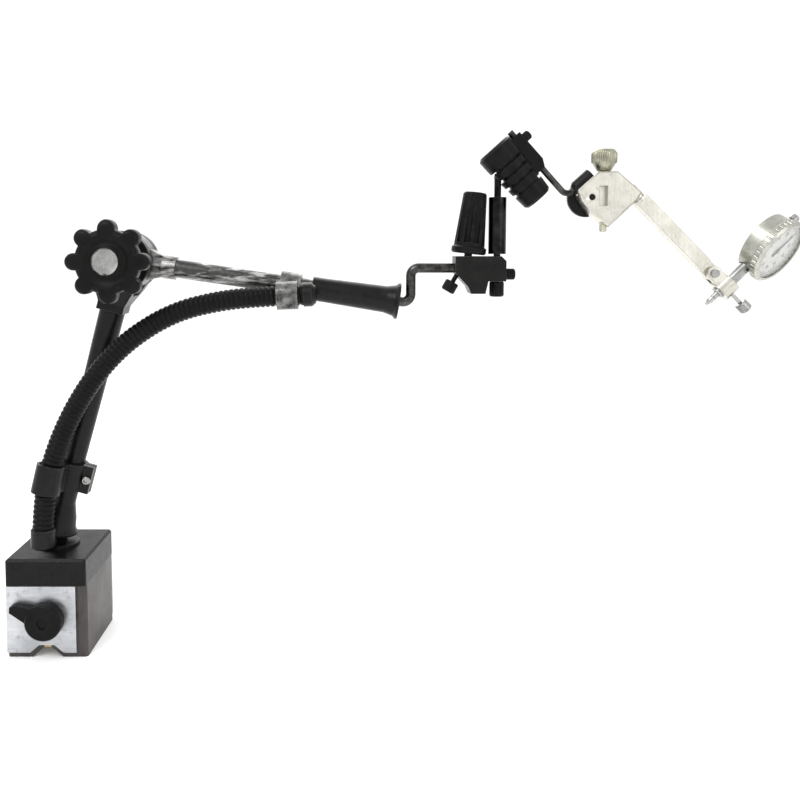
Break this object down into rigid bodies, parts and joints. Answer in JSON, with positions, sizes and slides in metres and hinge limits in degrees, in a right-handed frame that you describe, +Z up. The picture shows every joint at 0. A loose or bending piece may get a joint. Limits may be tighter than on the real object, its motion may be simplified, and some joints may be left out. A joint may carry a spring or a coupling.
{
  "type": "dial indicator on magnetic base",
  "caption": "Dial indicator held by a switchable magnetic base through a locking elbow arm, guard hose, cranked rod and swivel clamps.",
  "frame": {"origin": "middle of the magnetised sole of the base", "axes": "+Z up from the sole, +X along the reach of the arms, -Y towards the switch knob's side"},
  "size_m": [0.5022, 0.0775, 0.3295],
  "materials": {
    "base_steel": "satin",
    "brass": "satin",
    "plate_silver": "brushed",
    "cover_black": "satin",
    "bright_steel": "polished",
    "magnet": "ground",
    "core_iron": "ground",
    "black_plastic": "matte",
    "arm_black": "satin",
    "arm_gray": "satin",
    "clip_steel": "satin",
    "rod_dark": "blackened",
    "hose_black": "matte",
    "chrome_cream": "satin",
    "knob_olive": "knurled",
    "case_satin": "satin",
    "gear_brass": "polished",
    "hand_black": "matte",
    "dial_white": "matte",
    "crystal_clear": "clear"
  },
  "bodies": {
    "base": {"pole_left": "base_steel", "pole_right": "base_steel", "pole_spacer": "brass", "front_plate": "plate_silver", "rear_plate": "plate_silver", "top_cover": "cover_black", "plate_screws": "bright_steel", "ball_stud": "arm_black"},
    "magnet_switch": {"magnet_core": "magnet", "core_shoes": "core_iron", "switch_knob": "black_plastic"},
    "foot_seat": {"foot_ball_seat": "brass"},
    "lower_arm": {"foot_socket": "arm_black", "lower_tube": "arm_black", "lower_push_rod": "bright_steel", "elbow_fork": "arm_black", "elbow_bolt": "arm_black", "lower_clip": "arm_black", "lower_clip_screw": "bright_steel", "hose_foot_ferrule": "arm_black", "hose": "hose_black"},
    "elbow_knob": {"star_knob": "black_plastic", "knob_cap": "bright_steel"},
    "upper_arm": {"elbow_tongue": "arm_black", "upper_tube": "arm_gray", "upper_push_rod": "bright_steel", "wrist_socket": "arm_black", "upper_clip": "clip_steel", "hose_arm_ferrule": "arm_black"},
    "wrist_seat": {"wrist_ball_seat": "brass"},
    "crank": {"crank_rod": "rod_dark"},
    "first_clamp": {"clamp_block": "arm_black"},
    "handle": {"clamp_handle": "black_plastic"},
    "crank_lock": {"crank_lock_screw": "black_plastic"},
    "post_lock": {"post_lock_screw": "black_plastic"},
    "fine_adjuster": {"fine_adjust_screw": "black_plastic"},
    "post": {"fine_adjust_post": "rod_dark"},
    "barrel": {"ribbed_barrel": "black_plastic"},
    "link_lock": {"link_lock_screw": "black_plastic"},
    "link": {"bent_link": "rod_dark"},
    "bright_clamp": {"second_clamp": "chrome_cream", "link_collar": "arm_black", "second_clamp_disc": "arm_black"},
    "bright_knob": {"second_clamp_screw": "knob_olive"},
    "bar": {"swivel_bar": "chrome_cream"},
    "dial_clamp": {"stem_clamp": "chrome_cream", "tilt_pin": "bright_steel"},
    "stem_lock": {"stem_lock_screw": "bright_steel"},
    "indicator": {"dial_case": "case_satin", "dial_back_cover": "case_satin", "dial_bridge": "case_satin", "dial_stem": "bright_steel"},
    "bezel": {"bezel_ring": "case_satin", "crystal": "crystal_clear", "dial_face": "dial_white"},
    "spindle": {"plunger": "bright_steel", "contact_point": "bright_steel"},
    "gear": {"train_gear": "gear_brass"},
    "hand": {"centre_arbor": "gear_brass", "pointer_hand": "hand_black"}
  },
  "joints": [
    {"name": "switch_turn", "type": "hinge", "parent": "base", "child": "magnet_switch", "pos_m": [0, 0, 0.025], "axis": [0, 1, 0], "range_deg": [0, 90]},
    {"name": "foot_swivel", "type": "hinge", "parent": "base", "child": "foot_seat", "pos_m": [-0.001, 0, 0.077], "axis": [0, 0, 1], "range_deg": [-120, 120]},
    {"name": "foot_tilt", "type": "hinge", "parent": "foot_seat", "child": "lower_arm", "pos_m": [-0.001, 0, 0.077], "axis": [0, 1, 0], "range_deg": [-40, 12]},
    {"name": "elbow_bend", "type": "hinge", "parent": "lower_arm", "child": "upper_arm", "pos_m": [0.0455, 0, 0.247], "axis": [0, 1, 0], "range_deg": [-60, 25], "deforming": ["hose"]},
    {"name": "knob_turn", "type": "hinge", "parent": "lower_arm", "child": "elbow_knob", "pos_m": [0.0455, 0, 0.247], "axis": [0, -1, 0], "range_deg": [0, 270]},
    {"name": "wrist_swivel", "type": "hinge", "parent": "upper_arm", "child": "wrist_seat", "pos_m": [0.216, 0, 0.2218], "axis": [0.9893, 0, -0.1462], "range_deg": [-90, 90]},
    {"name": "wrist_tilt", "type": "hinge", "parent": "wrist_seat", "child": "crank", "pos_m": [0.216, 0, 0.2218], "axis": [0, 1, 0], "range_deg": [-17, 20]},
    {"name": "first_clamp_turn", "type": "hinge", "parent": "crank", "child": "first_clamp", "pos_m": [0.26, 0, 0.2425], "axis": [1, 0, 0], "range_deg": [-90, 90]},
    {"name": "handle_turn", "type": "hinge", "parent": "first_clamp", "child": "handle", "pos_m": [0.264, 0, 0.2504], "axis": [0.107, 0, 0.9943], "range_deg": [0, 180]},
    {"name": "crank_lock_turn", "type": "hinge", "parent": "first_clamp", "child": "crank_lock", "pos_m": [0.2571, 0, 0.23852], "axis": [-0.5, 0, -0.866], "range_deg": [0, 180]},
    {"name": "post_lock_turn", "type": "hinge", "parent": "first_clamp", "child": "post_lock", "pos_m": [0.2846, 0, 0.2386], "axis": [1, 0, 0], "range_deg": [0, 180]},
    {"name": "fine_adjust_turn", "type": "hinge", "parent": "first_clamp", "child": "fine_adjuster", "pos_m": [0.2824, 0, 0.2384], "axis": [0, 0, 1], "range_deg": [-725, 725]},
    {"name": "post_lift", "type": "slide", "parent": "first_clamp", "child": "post", "axis": [0, 0, 1], "range_m": [-0.001, 0.001]},
    {"name": "barrel_swivel", "type": "hinge", "parent": "post", "child": "barrel", "pos_m": [0.2824, 0, 0.236], "axis": [0, 0, 1], "range_deg": [-105, 105]},
    {"name": "link_lock_turn", "type": "hinge", "parent": "barrel", "child": "link_lock", "pos_m": [0.2973, 0, 0.32301], "axis": [0.7408, 0, 0.6718], "range_deg": [0, 180]},
    {"name": "link_turn", "type": "hinge", "parent": "barrel", "child": "link", "pos_m": [0.30437, 0, 0.31187], "axis": [0.6718, 0, -0.7408], "range_deg": [-60, 60]},
    {"name": "bright_clamp_turn", "type": "hinge", "parent": "link", "child": "bright_clamp", "pos_m": [0.33508, 0, 0.29587], "axis": [0.7403, 0, 0.6723], "range_deg": [-90, 90]},
    {"name": "bright_knob_turn", "type": "hinge", "parent": "bright_clamp", "child": "bright_knob", "pos_m": [0.3495, 0, 0.31], "axis": [0, 0, 1], "range_deg": [0, 180]},
    {"name": "bar_roll", "type": "hinge", "parent": "bright_clamp", "child": "bar", "pos_m": [0.36549, 0, 0.29298], "axis": [0.7071, 0, -0.7071], "range_deg": [-90, 90]},
    {"name": "dial_tilt", "type": "hinge", "parent": "bar", "child": "dial_clamp", "pos_m": [0.4193, 0, 0.23917], "axis": [0, 1, 0], "range_deg": [-45, 45]},
    {"name": "stem_lock_turn", "type": "hinge", "parent": "dial_clamp", "child": "stem_lock", "pos_m": [0.43061, 0, 0.22786], "axis": [0.7071, 0, -0.7071], "range_deg": [0, 180]},
    {"name": "dial_roll", "type": "hinge", "parent": "dial_clamp", "child": "indicator", "pos_m": [0.4543, 0, 0.2572], "axis": [-0.7071, 0, -0.7071], "range_deg": [-90, 90]},
    {"name": "bezel_turn", "type": "hinge", "parent": "indicator", "child": "bezel", "pos_m": [0.45554, -0.00163, 0.25596], "axis": [0.5182, -0.6803, -0.5182], "continuous": true},
    {"name": "plunger_travel", "type": "slide", "parent": "indicator", "child": "spindle", "axis": [0.7071, 0, 0.7071], "range_m": [0, 0.005], "stiffness_N_per_m": 120, "springref_m": -0.004},
    {"name": "gear_turn", "type": "hinge", "parent": "indicator", "child": "gear", "pos_m": [0.45913, -0.00394, 0.26257], "axis": [0.5182, -0.6803, -0.5182], "range_deg": [-5, 300]},
    {"name": "hand_turn", "type": "hinge", "parent": "indicator", "child": "hand", "pos_m": [0.45554, -0.00163, 0.25596], "axis": [0.5182, -0.6803, -0.5182], "range_deg": [-1830, 5]}
  ],
  "couplings": [
    {"joint": "fine_adjust_turn", "follows": "post_lift", "rad_per_m": 12566},
    {"joint": "gear_turn", "follows": "plunger_travel", "rad_per_m": 1000},
    {"joint": "hand_turn", "follows": "plunger_travel", "rad_per_m": -6308.4}
  ]
}
